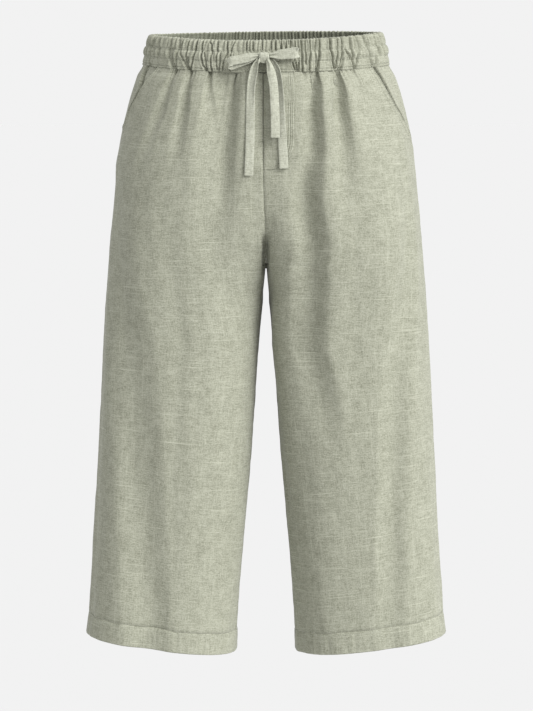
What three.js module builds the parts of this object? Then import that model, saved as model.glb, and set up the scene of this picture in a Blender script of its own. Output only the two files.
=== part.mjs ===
// Wide-leg cropped linen trousers, filled out as if worn: four leg panels gathered into an elastic
// waistband with a drawstring tied in a bow, slant pockets, a mock fly and turned-up hems.
// Millimetres, +Z up, front towards -Y, wearer's left towards +X. The origin is the middle of the waist.
import * as THREE from 'three';

// ---- driving dimensions ----------------------------------------------------------------------
const CLOTH = 1.4; // wall of one layer of linen
const GAP = 0.3; // room between two pieces at a seam
const BAND_TOP = 18; // top of the waistband at the side
const SEAM = -21; // waist seam at the side
const CROTCH = -275; // where the four panels meet
const HEM_STITCH = -744; // top of the turned-up hem, at the middle of the leg
const HEM_EDGE = -771; // bottom edge of the leg, at its middle
const HEM_TILT = 0.12; // the hem rises outwards by this share of its width
const FRONT_DIP = 8; // the waist dips by this at the centre front
const BACK_RISE = 2; // and rises by this at the centre back
const CENTRE_SHIFT = 3.4; // the centre front seam runs this far to the wearer's right
const BAND_WALL = 3.4; // two layers of linen with elastic between them
const HEM_WALL = 2.4; // two layers, pressed flat
const GATHERS = 88; // gathers round the waistband
const TAPE_WIDTH = 11; // drawstring, a flat linen tape
const TAPE_WALL = 1.4;
const LINEN = new THREE.Color().setRGB(0.47, 0.49, 0.38);

// One row for each level: half is the distance from the centre to the side, inner the distance from the
// centre to the inside of the leg's oval (negative where the two ovals run into each other), front and
// back the depths of the section, square the exponent of its superellipse.
const SECTIONS = [
  { z: 30, half: 147.0, inner: -147.0, front: 104, back: 104, square: 2.2 },
  { z: 18, half: 148.5, inner: -148.5, front: 105, back: 105, square: 2.2 },
  { z: 3, half: 152.5, inner: -152.5, front: 108, back: 108, square: 2.2 },
  { z: -21, half: 158.0, inner: -158.0, front: 111, back: 112, square: 2.2 },
  { z: -35, half: 165.5, inner: -162.5, front: 115, back: 117, square: 2.25 },
  { z: -66, half: 175.0, inner: -160.0, front: 119, back: 124, square: 2.3 },
  { z: -105, half: 184.5, inner: -140.0, front: 121, back: 130, square: 2.35 },
  { z: -130, half: 189.0, inner: -122.0, front: 121, back: 132, square: 2.4 },
  { z: -195, half: 196.0, inner: -76.0, front: 117, back: 130, square: 2.45 },
  { z: -235, half: 200.0, inner: -43.0, front: 112, back: 124, square: 2.5 },
  { z: -275, half: 203.5, inner: -12.0, front: 106, back: 115, square: 2.5 },
  { z: -312, half: 206.5, inner: 1.5, front: 101, back: 108, square: 2.45 },
  { z: -390, half: 211.5, inner: 9.8, front: 95, back: 101, square: 2.4 },
  { z: -495, half: 217.0, inner: 17.4, front: 89, back: 94, square: 2.4 },
  { z: -600, half: 222.5, inner: 26.4, front: 83, back: 87, square: 2.4 },
  { z: -707, half: 229.5, inner: 35.4, front: 79, back: 82, square: 2.4 },
  { z: -744, half: 232.0, inner: 38.0, front: 78, back: 80, square: 2.4 },
  { z: -772, half: 235.5, inner: 39.0, front: 79, back: 81, square: 2.4 },
];

// How far the side seam lies in front of the section's side, and the inseam in front of its inside.
const SEAM_ANGLES = [
  { z: 30, side: 7, inside: 0 },
  { z: -130, side: 8, inside: 0 },
  { z: -275, side: 10, inside: 0 },
  { z: -400, side: 12, inside: 8 },
  { z: -772, side: 14, inside: 13 },
];

// Folds, as places across a panel (0 at its inner edge, 1 at its side seam) at their two ends, with a
// half width at each end and a depth. A negative depth is a ridge. The fold fades towards its ends.
const FOLDS = {
  front_right: [
    { from: -21, to: -165, at: 0.65, end: 0.725, width: 0.035, spread: 0.065, depth: 5.5 },
    { from: -21, to: -155, at: 0.545, end: 0.515, width: 0.035, spread: 0.06, depth: 7.0 },
    { from: -21, to: -110, at: 0.415, end: 0.33, width: 0.028, spread: 0.05, depth: 4.5 },
    { from: -21, to: -220, at: 0.215, end: 0.235, width: 0.05, spread: 0.08, depth: 6.5 },
    { from: -21, to: -330, at: 0.28, end: 0.29, width: 0.15, spread: 0.2, depth: 12.0 },
    { from: -60, to: -772, at: 0.38, end: 0.36, width: 0.14, spread: 0.16, depth: -3.5 },
    { from: -170, to: -1200, at: 0.87, end: 0.37, width: 0.15, spread: 0.17, depth: 10.0 },
  ],
  front_left: [
    { from: -21, to: -60, at: 0.3, end: 0.28, width: 0.018, spread: 0.02, depth: 1.8 },
    { from: -21, to: -310, at: 0.35, end: 0.14, width: 0.05, spread: 0.14, depth: 12.0 },
    { from: -21, to: -310, at: 0.405, end: 0.3, width: 0.05, spread: 0.14, depth: -5.0 },
    { from: -130, to: -520, at: 0.19, end: 0.38, width: 0.1, spread: 0.1, depth: 11.0 },
    { from: -130, to: -520, at: 0.32, end: 0.475, width: 0.12, spread: 0.13, depth: -4.0 },
    { from: -200, to: -600, at: 0.13, end: 0.14, width: 0.13, spread: 0.14, depth: -7.0 },
    { from: -420, to: -1100, at: 0.06, end: 0.06, width: 0.24, spread: 0.24, depth: 3.0 },
    { from: -21, to: -200, at: 0.494, end: 0.42, width: 0.045, spread: 0.11, depth: 11.0 },
    { from: -21, to: -200, at: 0.55, end: 0.55, width: 0.04, spread: 0.1, depth: -4.0 },
    { from: -21, to: -70, at: 0.63, end: 0.64, width: 0.02, spread: 0.03, depth: 2.5 },
    { from: -180, to: -900, at: 0.8, end: 0.58, width: 0.09, spread: 0.11, depth: 9.0 },
  ],
  back_right: [
    { from: -21, to: -130, at: 0.12, end: 0.15, width: 0.035, spread: 0.07, depth: 6.0 },
    { from: -21, to: -100, at: 0.24, end: 0.27, width: 0.03, spread: 0.06, depth: 4.0 },
    { from: -21, to: -210, at: 0.37, end: 0.42, width: 0.045, spread: 0.1, depth: 9.0 },
    { from: -21, to: -120, at: 0.5, end: 0.54, width: 0.03, spread: 0.06, depth: 4.0 },
    { from: -21, to: -170, at: 0.63, end: 0.68, width: 0.04, spread: 0.08, depth: 7.0 },
    { from: -21, to: -110, at: 0.76, end: 0.8, width: 0.03, spread: 0.06, depth: 4.0 },
    { from: -21, to: -90, at: 0.88, end: 0.9, width: 0.03, spread: 0.05, depth: 3.0 },
    { from: -200, to: -800, at: 0.3, end: 0.34, width: 0.13, spread: 0.16, depth: 10.0 },
    { from: -260, to: -840, at: 0.7, end: 0.64, width: 0.13, spread: 0.16, depth: 8.0 },
  ],
  back_left: [
    { from: -21, to: -110, at: 0.1, end: 0.12, width: 0.03, spread: 0.06, depth: 4.0 },
    { from: -21, to: -180, at: 0.22, end: 0.27, width: 0.045, spread: 0.09, depth: 8.0 },
    { from: -21, to: -100, at: 0.35, end: 0.38, width: 0.03, spread: 0.06, depth: 4.0 },
    { from: -21, to: -220, at: 0.48, end: 0.53, width: 0.045, spread: 0.1, depth: 9.0 },
    { from: -21, to: -120, at: 0.6, end: 0.64, width: 0.03, spread: 0.06, depth: 4.0 },
    { from: -21, to: -160, at: 0.73, end: 0.78, width: 0.04, spread: 0.08, depth: 7.0 },
    { from: -21, to: -90, at: 0.86, end: 0.88, width: 0.03, spread: 0.05, depth: 3.0 },
    { from: -220, to: -820, at: 0.36, end: 0.4, width: 0.14, spread: 0.16, depth: 10.0 },
    { from: -300, to: -860, at: 0.76, end: 0.7, width: 0.12, spread: 0.15, depth: 7.0 },
  ],
};

// The slant pockets: each front panel's side edge runs from "start" at the waist seam to the side seam at
// "foot", bowed inwards a little where "bow" is over 1.
const MOUTHS = {
  right: { start: 0.8, foot: -108, bow: 1.15 },
  left: { start: 0.785, foot: -118, bow: 1.8 },
};
const POCKET = { gape: 1.2, bagInner: 0.5, bagBottom: -236, clear: 1.2 };

// ---- small helpers ---------------------------------------------------------------------------
const clamp = (t) => Math.min(1, Math.max(0, t));
const lerp = (a, b, t) => a + (b - a) * t;
const smooth = (t) => clamp(t) ** 2 * (3 - 2 * clamp(t));
const hump = (t) => (Math.abs(t) < 1 ? (1 - t * t) ** 2 : 0);
const radians = THREE.MathUtils.degToRad;

// A smooth curve through one column of a table whose z falls from row to row.
function column(rows, key) {
  const slopes = rows.slice(1).map((row, i) => (row[key] - rows[i][key]) / (row.z - rows[i].z));
  const tangents = rows.map((_, i) => {
    const [a, b] = [slopes[i - 1] ?? slopes[i], slopes[i] ?? slopes[i - 1]];
    return a * b > 0 ? (2 * a * b) / (a + b) : 0;
  });
  return (z) => {
    const i = Math.max(0, rows.findLastIndex((row, k) => k < rows.length - 1 && row.z >= z));
    const step = rows[i + 1].z - rows[i].z;
    const t = clamp((z - rows[i].z) / step);
    const rise = rows[i + 1][key] - rows[i][key];
    const [m0, m1] = [tangents[i] * step, tangents[i + 1] * step];
    return rows[i][key] + m0 * t + (3 * rise - 2 * m0 - m1) * t ** 2 + (m0 + m1 - 2 * rise) * t ** 3;
  };
}

const section = Object.fromEntries(
  ['half', 'inner', 'front', 'back', 'square'].map((key) => [key, column(SECTIONS, key)]),
);
const sideAngle = column(SEAM_ANGLES, 'side');
const insideAngle = column(SEAM_ANGLES, 'inside');

// ---- the form of the cloth -------------------------------------------------------------------
// The oval of one leg at a level: its centre, half width, depths and exponent.
function oval(z) {
  const [half, inner] = [section.half(z), section.inner(z)];
  return {
    centre: (half + inner) / 2,
    width: (half - inner) / 2,
    front: section.front(z),
    back: section.back(z),
    square: section.square(z),
  };
}

// Where a front panel ends: it is cut away along the pocket mouth, from the waist seam to the side seam.
// A back panel runs to its side seam all the way.
function pocketEdge(panel, z) {
  const [face, side] = panel.split('_');
  if (face === 'back') return 1;
  const { start, foot, bow } = MOUTHS[side];
  return lerp(start, 1, clamp((SEAM - z) / (SEAM - foot)) ** bow);
}

// The angle of a panel's inner edge: where the oval meets the centre plane, or the inseam below the crotch.
function innerAngle(z, face) {
  const leg = oval(z);
  if (z <= CROTCH) return Math.PI + (face === 'front' ? -1 : 1) * radians(insideAngle(z));
  const reach = Math.min(1, leg.centre / leg.width);
  const depth = leg[face] * (1 - reach ** leg.square) ** (1 / leg.square);
  return Math.atan2(depth, -leg.centre);
}

// The angle of the point at share u across a panel. The cloth that the crotch curve adds is put in
// near the inner edge, so that the folds run straight down.
function panelAngle(z, face, u) {
  const steady = lerp(Math.PI / 2, Math.PI, smooth((SEAM - z) / 430));
  const side = (face === 'front' ? 1 : -1) * radians(sideAngle(z));
  const inner = innerAngle(z, face);
  const base = Math.min(steady, inner);
  return lerp(base, side, u) + (inner - base) * (1 - u) ** 9;
}

function foldDepth(panel, u, z) {
  let sum = 0;
  for (const fold of FOLDS[panel]) {
    const t = clamp((fold.from - z) / (fold.from - fold.to));
    // A fold out of the waist seam is deepest just below it; the others swell and fade.
    const gathered = lerp(0.5, 1, smooth((SEAM - z) / 18)) * (1 - t * t) ** 1.5;
    const along = fold.from === SEAM ? gathered : Math.sin(Math.PI * t ** 0.7) ** 1.2;
    const across = (u - lerp(fold.at, fold.end, t)) / lerp(fold.width, fold.spread, t);
    sum += fold.depth * along * hump(across);
  }
  // Folds die out at the seams and at the pocket mouth, where the cloth is held.
  return sum * smooth(u / 0.06) * smooth((pocketEdge(panel, z) - u) / 0.07);
}

// The pocket mouth stands a little open: the front panel lifts by this much beside it.
function mouthLift(panel, u, z) {
  const t = (SEAM - z) / (SEAM - MOUTHS[panel.split('_')[1]].foot);
  const beside = smooth((u - pocketEdge(panel, z) + 0.16) / 0.16);
  return POCKET.gape * beside * smooth(t / 0.3) * smooth((1 - t) / 0.1);
}

// A point on the outside of the cloth, pushed out along the section by "out".
function clothPoint(panel, u, z, out = 0) {
  const face = panel.startsWith('front') ? 'front' : 'back';
  const side = panel.endsWith('left') ? 1 : -1;
  const leg = oval(z);
  const angle = panelAngle(z, face, u);
  // An angle below 0 or beyond 180 degrees is on the other half of the oval.
  const depth = (Math.sin(angle) >= 0) === (face === 'front') ? leg.front : leg.back;
  const [cos, sin] = [Math.cos(angle), Math.abs(Math.sin(angle))];
  const radius = (Math.abs(cos / leg.width) ** leg.square + (sin / depth) ** leg.square) ** (-1 / leg.square);
  const towards = depth === leg.front ? -1 : 1;
  const flat = new THREE.Vector2(radius * cos, towards * radius * sin);
  const normal = new THREE.Vector2(
    Math.sign(flat.x) * Math.abs(flat.x / leg.width) ** (leg.square - 1) / leg.width,
    Math.sign(flat.y) * Math.abs(flat.y / depth) ** (leg.square - 1) / depth,
  ).normalize();
  flat.addScaledVector(normal, out - foldDepth(panel, u, z));
  // Between the legs the two flat inner sides hang against each other.
  const parting = 0.2 + 3.6 * clamp((CROTCH - z) / 38);
  if (z < CROTCH) flat.x = Math.max(flat.x, parting - leg.centre);
  const share = (flat.y / depth) ** 2 * smooth((z + 170) / 150);
  const dip = flat.y < 0 ? -FRONT_DIP * share : BACK_RISE * share;
  const tilt = HEM_TILT * smooth((-300 - z) / 300) * flat.x;
  const x = side * (leg.centre + flat.x);
  const shift = flat.y < 0 ? CENTRE_SHIFT * Math.exp(-((x / 50) ** 2)) * smooth((z + 250) / 90) : 0;
  return new THREE.Vector3(x - shift, flat.y, z + dip + tilt);
}

// ---- solids ----------------------------------------------------------------------------------
// A closed wall between two grids of points, [station][row]. The grids have the same stations but may
// have different rows. A ring closes on its first station; any other wall is capped at both ends.
function wall(outer, inner, ring = false) {
  const points = [];
  const put = (grid) => grid.map((row) => row.map((point) => points.push(point) - 1));
  const [a, b] = [put(outer), put(inner)];
  const faces = [];
  const quad = (p, q, r, s) => faces.push(p, q, r, p, r, s);
  const spans = ring ? a.length : a.length - 1;
  for (let i = 0; i < spans; i++) {
    const [a0, a1] = [a[i], a[(i + 1) % a.length]];
    const [b0, b1] = [b[i], b[(i + 1) % b.length]];
    for (let j = 0; j + 1 < a0.length; j++) quad(a0[j], a1[j], a1[j + 1], a0[j + 1]);
    for (let j = 0; j + 1 < b0.length; j++) quad(b0[j], b0[j + 1], b1[j + 1], b1[j]);
    quad(a0[0], b0[0], b1[0], a1[0]);
    quad(a0.at(-1), a1.at(-1), b1.at(-1), b0.at(-1));
  }
  const cap = (p, q, turn) => {
    for (let i = 0, j = 0; i + 1 < p.length || j + 1 < q.length; ) {
      const behind = (i + 1) / (p.length - 1) <= (j + 1) / (q.length - 1);
      const stepP = j + 1 >= q.length || (i + 1 < p.length && behind);
      const face = stepP ? [p[i], p[i + 1], q[j]] : [p[i], q[j + 1], q[j]];
      faces.push(...(turn ? face.reverse() : face));
      if (stepP) i++;
      else j++;
    }
  };
  if (!ring) {
    cap(a[0], b[0], false);
    cap(a.at(-1), b.at(-1), true);
  }
  let volume = 0;
  for (let k = 0; k < faces.length; k += 3) {
    const [p, q, r] = [points[faces[k]], points[faces[k + 1]], points[faces[k + 2]]];
    volume += p.dot(q.clone().cross(r));
  }
  if (volume < 0) faces.reverse();
  const geometry = new THREE.BufferGeometry().setFromPoints(points).setIndex(faces);
  geometry.computeVertexNormals();
  return geometry;
}

const steps = (count, make) => Array.from({ length: count + 1 }, (_, i) => make(i / count, i));

// The outward normal of the cloth, and a point pushed along it.
function pushed(panel, u, z, distance) {
  const [du, dz] = [0.004, 1.5];
  const across = clothPoint(panel, Math.min(1, u + du), z).sub(clothPoint(panel, Math.max(0, u - du), z));
  const [above, below] = [clothPoint(panel, u, Math.min(z + dz, SEAM)), clothPoint(panel, u, z - dz)];
  const normal = across.cross(above.sub(below)).normalize();
  const outwards = panel === 'front_left' || panel === 'back_right' ? 1 : -1;
  return clothPoint(panel, u, z).addScaledVector(normal, outwards * distance);
}

function linen(name, geometry, tone = 1) {
  const color = LINEN.clone().multiplyScalar(tone);
  const material = new THREE.MeshStandardMaterial({ color, roughness: 0.9, metalness: 0 });
  const mesh = new THREE.Mesh(geometry, material);
  mesh.name = name;
  return mesh;
}

// ---- the pieces ------------------------------------------------------------------------------
// Levels of the panels' rows: close together under the gathers and round the crotch.
const LEVELS = [
  -21, -31, -44, -62, -84, -108, -118, -145, -180, -212, -236,
  -254, -267, -276, -300, -345, -410, -490, -580, -670, -744,
];

const COLUMNS = 26;

// The columns of a panel run straight down over its inner half and lean towards the pocket mouth beyond.
function columnPlace(panel, share, z) {
  return share < 0.5 ? share : lerp(0.5, pocketEdge(panel, z), (share - 0.5) / 0.5);
}

function legPanel(name) {
  const front = name.startsWith('front');
  const side = name.endsWith('left') ? 1 : -1;
  const grid = (distance) => steps(COLUMNS, (share) => LEVELS.map((z) => {
    const u = columnPlace(name, share, z);
    const point = pushed(name, u, z, distance + (front ? mouthLift(name, u, z) : 0));
    // Half a seam gap at each edge.
    if (u === 0 && z > CROTCH) {
      const middle = clothPoint(name, 0, z).x;
      point.x = middle + side * Math.max(side * (point.x - middle), GAP / 2);
    }
    if (u === 0 || u === 1) point.y += (front ? -1 : 1) * GAP / 2;
    if (z === SEAM) point.z -= GAP / 2;
    if (z === HEM_STITCH) point.z += GAP / 2;
    return point;
  }));
  return linen(name.replace('_', '_panel_'), wall(grid(0), grid(-CLOTH)));
}

// The pocket's facing shows in the slant opening; it runs on behind the front panel as the pocket bag,
// which follows the panel's own columns.
function pocketBag(side) {
  const panel = 'front_' + side;
  const under = -(CLOTH + POCKET.clear);
  const levels = LEVELS.filter((z) => z >= POCKET.bagBottom);
  const columns = Array.from({ length: COLUMNS }, (_, i) => i / COLUMNS);
  const shares = columns.filter((share) => share >= POCKET.bagInner);
  const grid = (distance) => [...shares, 0.25, 0.5, 0.75, 1].map((share, i) => levels.map((z) => {
    const last = columnPlace(panel, shares.at(-1), z);
    const beyond = i >= shares.length;
    const edge = pocketEdge(panel, z);
    const far = lerp(0.988, 1, smooth((0.99 - edge) / 0.06));
    const u = beyond ? lerp(last, far, share) : columnPlace(panel, share, z);
    // Beyond the mouth it comes up to the side seam, flush with the back panel.
    const shown = smooth((u - edge - 0.02) / Math.max(0.02, 0.97 - edge)) * smooth((0.99 - edge) / 0.06);
    const point = pushed(panel, u, z, lerp(under, 0, shown) + distance);
    if (z === SEAM) point.z -= GAP / 2;
    if (share === 1 && beyond) point.y -= GAP / 2;
    return point;
  }));
  return linen('pocket_facing_' + side, wall(grid(0), grid(-1)), 0.96);
}

// The waistband is one strip, joined at the centre back. Two rows of stitching part it into three
// channels, and the elastic gathers it all round.
const BAND_ROWS = [
  { t: 0, puff: 0, wave: 1.0 },
  { t: 0.15, puff: 1.6, wave: 1.5 },
  { t: 0.3, puff: 0.2, wave: 0.9 },
  { t: 0.5, puff: 2.4, wave: 1.8 },
  { t: 0.7, puff: 0.2, wave: 0.9 },
  { t: 0.85, puff: 1.2, wave: 1.4 },
  { t: 1, puff: 0, wave: 1.1 },
];
const BAND_INSIDE = [{ t: 0, wave: 0.5 }, { t: 0.3, wave: 0.9 }, { t: 0.7, wave: 0.9 }, { t: 1, wave: 0.6 }];

function bandPoint(angle, t, out) {
  // The top is stretched a little higher towards the wearer's left.
  const z = lerp(SEAM + GAP, BAND_TOP + 1.5 * Math.cos(angle) + 1, t);
  const [cos, sin] = [Math.cos(angle), Math.sin(angle)];
  const depth = sin < 0 ? section.front(z) : section.back(z);
  const square = section.square(z);
  const half = section.half(z);
  const radius = (Math.abs(cos / half) ** square + Math.abs(sin / depth) ** square) ** (-1 / square);
  const flat = new THREE.Vector2(radius * cos, radius * sin);
  flat.addScaledVector(new THREE.Vector2(cos / half, sin / depth).normalize(), out);
  const share = (radius * sin / depth) ** 2;
  return new THREE.Vector3(flat.x, flat.y, z + (sin < 0 ? -FRONT_DIP : BACK_RISE) * share);
}

function waistband() {
  const seam = GAP / section.back(0);
  const grid = (rows, base) => steps(2 * GATHERS, (share, i) => {
    // Gathers are uneven: each is a little wider or narrower than the next.
    const uneven = 0.008 * Math.sin(share * 97) + 0.006 * Math.sin(share * 231 + 1);
    const angle = Math.PI / 2 + lerp(seam, 2 * Math.PI - seam, share) + (i % (2 * GATHERS) ? uneven : 0);
    const crest = (i % 2 ? -1 : 1) * (0.75 + 0.25 * Math.sin(share * 143));
    const flatFront = hump((angle - 1.5 * Math.PI) / 0.34);
    return rows.map((row) => {
      const calm = row.t < 0.6 ? 1 - 0.85 * flatFront : 1;
      const puff = (row.puff ?? 0) * lerp(1, 0.5, flatFront);
      return bandPoint(angle, row.t, base + puff + row.wave * crest * calm);
    });
  });
  return linen('waistband', wall(grid(BAND_ROWS, 0.6), grid(BAND_INSIDE, 0.6 - BAND_WALL)));
}

// A turned-up hem: two layers in a ring, a little puckered, with its stitched edge at the top.
function hem(side) {
  const columns = 26;
  const front = 'front_' + side;
  const back = 'back_' + side;
  const round = [
    ...Array.from({ length: columns }, (_, i) => [front, i / columns]),
    ...Array.from({ length: columns }, (_, i) => [back, 1 - i / columns]),
  ];
  const grid = (rows) => round.map(([panel, u], i) => rows.map(([z, out, pucker]) => {
    const point = pushed(panel, u, z, out + pucker * (i % 2 ? -1 : 1));
    if (z === HEM_STITCH) point.z -= GAP / 2;
    return point;
  }));
  const outer = [[HEM_STITCH, 0, 0], [-750, 0.7, 0.25], [-761, 0.9, 0.35], [HEM_EDGE, 0.5, 0.2]];
  const inner = [[HEM_STITCH, -HEM_WALL, 0], [-758, -HEM_WALL + 0.3, 0.1], [HEM_EDGE, 0.5 - HEM_WALL, 0]];
  return linen('hem_' + side, wall(grid(outer), grid(inner), true), 1.03);
}

// A flat tape swept along a list of points. "ups" give the direction of its width, spread evenly along
// it. It is narrower where the knot bunches it, over the first and last "pinch" millimetres.
function tape(name, path, ups, count, { width = TAPE_WIDTH, crown = 0.4, pinch = [0, 0] } = {}) {
  const line = new THREE.CatmullRomCurve3(path.map((p) => new THREE.Vector3(...p)), false, 'centripetal');
  const upLine = new THREE.CatmullRomCurve3(ups.map((p) => new THREE.Vector3(...p)), false, 'centripetal');
  const length = line.getLength();
  const grid = (side) => steps(count, (share) => {
    const [point, along] = [line.getPointAt(share), line.getTangentAt(share)];
    const up = upLine.getPoint(line.getUtoTmapping(share)).normalize();
    up.addScaledVector(along, -up.dot(along)).normalize();
    const face = along.clone().cross(up);
    const [before, after] = [share * length, (1 - share) * length];
    const free = smooth((before + 1) / (pinch[0] + 1)) * smooth((after + 1) / (pinch[1] + 1));
    return [-1, 0, 1].map((across) => point.clone()
      .addScaledVector(up, across * lerp(0.45, 1, free) * width / 2)
      .addScaledVector(face, side * TAPE_WALL / 2 + crown * (1 - across ** 2)));
  });
  return linen(name, wall(grid(1), grid(-1)), 1.06);
}

// The bow is laid out as [x, out, z], out being the distance in front of the waistband.
const BAND_FRONT = -(section.front(0) + 3);
const KNOT = { x: -2.6, out: 6.2, z: -10.5, width: 13.5, depth: 8.4, height: 14 };
const bowPoint = ([x, out, z]) => [x, BAND_FRONT - out, z];

function knot() {
  const ball = new THREE.SphereGeometry(0.5, 14, 10);
  const place = ball.attributes.position;
  const box = (value) => Math.sign(value) * Math.abs(2 * value) ** 0.8 / 2;
  const [x0, y0, z0] = bowPoint([KNOT.x, KNOT.out, KNOT.z]);
  for (let i = 0; i < place.count; i++) {
    const [x, y, z] = [place.getX(i), place.getY(i), place.getZ(i)].map(box);
    place.setXYZ(i, x0 + KNOT.width * x, y0 + KNOT.depth * y, z0 + KNOT.height * z);
  }
  return linen('drawstring_knot', ball, 1.06);
}

// A bow loop: the tape goes out from the knot, folds over and comes back in front of itself. "back" and
// "front" are how steeply its two layers rise.
function bowLoop(name, side, reach, back, front) {
  const x0 = KNOT.x + side * (KNOT.width / 2 + 0.7);
  const middle = (back + front) / 2;
  const bend = [
    [0, 4.9, back], [9, 4.2, back], [reach - 9, 4.2, back], [reach - 3, 4.3, back], [reach, 5.9, middle],
    [reach - 3, 7.6, front], [reach - 9, 7.8, front], [9, 7.2, front], [0, 6.6, front],
  ];
  const start = KNOT.z + 2.5;
  const path = bend.map(([along, out, rise]) => bowPoint([x0 + side * along, out, start + rise * along]));
  return tape(name, path, path.map(() => [-side * middle, 0, 1]), 24, { pinch: [15, 15] });
}

// The ends hang from under the knot down the front, just clear of the cloth. "up" gives the direction of
// the tape's width, from the knot to the end.
const ENDS = {
  drawstring_end_right: {
    path: [
      [-8.2, 10.2, -14.3], [-12.5, 10.2, -21], [-16.8, 9.6, -34], [-19, 9.2, -52],
      [-19.6, 10.6, -86], [-20.2, 11, -122], [-21.6, 11, -157],
    ],
    up: [[0.7, -0.2, 0.7], [0.92, -0.35, 0.2], [0.97, -0.2, 0.05], [1, 0.05, 0], [1, 0.05, 0]],
  },
  drawstring_end_middle: {
    path: [
      [3, 9.8, -18.6], [6.2, 11, -27], [9, 12.4, -42],
      [10.6, 14.2, -62], [11.4, 15.6, -86], [11.6, 15.8, -109.5],
    ],
    up: [[0.9, 0.2, 0.3], [1, 0.15, 0.05], [1, 0.05, 0]],
  },
  drawstring_end_left: {
    path: [
      [5, 4.3, -15.5], [9.8, 5.2, -21.5], [14.2, 7.6, -32], [17, 10.6, -50],
      [18.6, 12.6, -80], [20.4, 13, -112], [22.4, 12.6, -148],
    ],
    up: [
      [0.5, 0.1, 0.85], [0.8, -0.45, 0.3], [0.85, -0.45, 0.05],
      [0.92, -0.3, 0], [1, -0.05, 0], [1, 0.05, 0],
    ],
  },
};

// The tape comes out of its casing on each side of the knot and runs in under it.
function lead(name, side) {
  const path = [19, 14, 9, 5, 1.2].map((along) => bowPoint([KNOT.x + side * along, 1.1, KNOT.z + 1]));
  return tape(name, path, path.map(() => [0, 0, 1]), 4, { width: 9, crown: 0 });
}

// The mock fly lies on the left front panel beside the centre seam, and curves in to it at its foot.
function fly() {
  const foot = -150;
  const levels = [SEAM - 2.5, -31, -44, -62, -84, -108, -118, -130, -140, -147, foot];
  const grid = (distance) => steps(7, (share) => levels.map((z) => {
    const curve = Math.sqrt(1 - clamp((-112 - z) / (-112 - foot)) ** 2);
    const edge = lerp(0.05, 0.222 - 0.0006 * (SEAM - z), curve);
    return pushed('front_left', lerp(0.012, edge, share), z, distance);
  }));
  return linen('fly', wall(grid(1.6), grid(GAP + 0.1)), 1.02);
}

const trousers = new THREE.Group();
for (const side of ['right', 'left']) {
  trousers.add(legPanel('front_' + side), legPanel('back_' + side), pocketBag(side), hem(side));
}
trousers.add(waistband(), fly(), knot());
trousers.add(bowLoop('bow_loop_right', -1, 36, -0.36, -0.2), bowLoop('bow_loop_left', 1, 35, 0.15, 0.07));
for (const [name, { path, up }] of Object.entries(ENDS)) {
  trousers.add(tape(name, path.map(bowPoint), up, 18, { pinch: [16, 0] }));
}
trousers.add(lead('drawstring_lead_right', -1), lead('drawstring_lead_left', 1));

export default trousers;
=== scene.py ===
import math

import bpy
import numpy as np
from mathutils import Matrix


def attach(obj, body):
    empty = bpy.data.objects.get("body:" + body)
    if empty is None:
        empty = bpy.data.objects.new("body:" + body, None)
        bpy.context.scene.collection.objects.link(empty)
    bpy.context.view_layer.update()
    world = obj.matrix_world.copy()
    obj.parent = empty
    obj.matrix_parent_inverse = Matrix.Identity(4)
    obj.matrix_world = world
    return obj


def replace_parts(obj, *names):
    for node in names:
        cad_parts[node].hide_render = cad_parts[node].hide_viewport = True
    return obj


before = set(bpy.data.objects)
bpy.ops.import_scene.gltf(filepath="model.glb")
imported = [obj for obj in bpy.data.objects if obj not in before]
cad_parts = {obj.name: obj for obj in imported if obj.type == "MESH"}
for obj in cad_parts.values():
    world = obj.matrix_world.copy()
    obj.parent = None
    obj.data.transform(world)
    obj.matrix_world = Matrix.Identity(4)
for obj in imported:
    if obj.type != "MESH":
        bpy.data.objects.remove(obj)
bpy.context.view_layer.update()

# Wide-leg cropped linen trousers, dressed over the frame. The cloth's form is worked out in millimetres
# with the same tables as the solids, made finer with gathers, creases, puckers and stitches, and turned
# into metres only when a mesh is made.
scene = bpy.context.scene
MM = 0.001

# ---- camera ----
CAMERA = (0.0006, -3.8, 0.03)
AIM_Z = -0.397
LENS = 148.935

camera = bpy.data.objects.new("camera", bpy.data.cameras.new("camera"))
scene.collection.objects.link(camera)
camera.location = CAMERA
pitch = math.atan2(CAMERA[2] - AIM_Z, -CAMERA[1])
camera.rotation_euler = (math.pi / 2 - pitch, 0, 0)
camera.data.lens = LENS
camera.data.sensor_width = 36
camera.data.clip_end = 60
scene.camera = camera
scene.view_settings.view_transform = "Standard"

# ---- the cut of the cloth, as in the solids ----
SEAM, BAND_TOP, CROTCH = -21.0, 18.0, -275.0
HEM_STITCH, HEM_EDGE, HEM_TILT = -744.0, -771.0, 0.12
FRONT_DIP, BACK_RISE = 8.0, 2.0
CENTRE_SHIFT = 3.4
CLOTH, BAND_WALL, HEM_WALL = 1.4, 3.4, 2.4
POCKET = dict(gape=1.2, bag_bottom=-236.0, clear=1.2)
# The pocket mouth of each side: where it starts across the panel, its foot, and how far it is bowed.
MOUTH = {"right": (0.8, -108.0, 1.15), "left": (0.785, -118.0, 1.8)}

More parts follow.
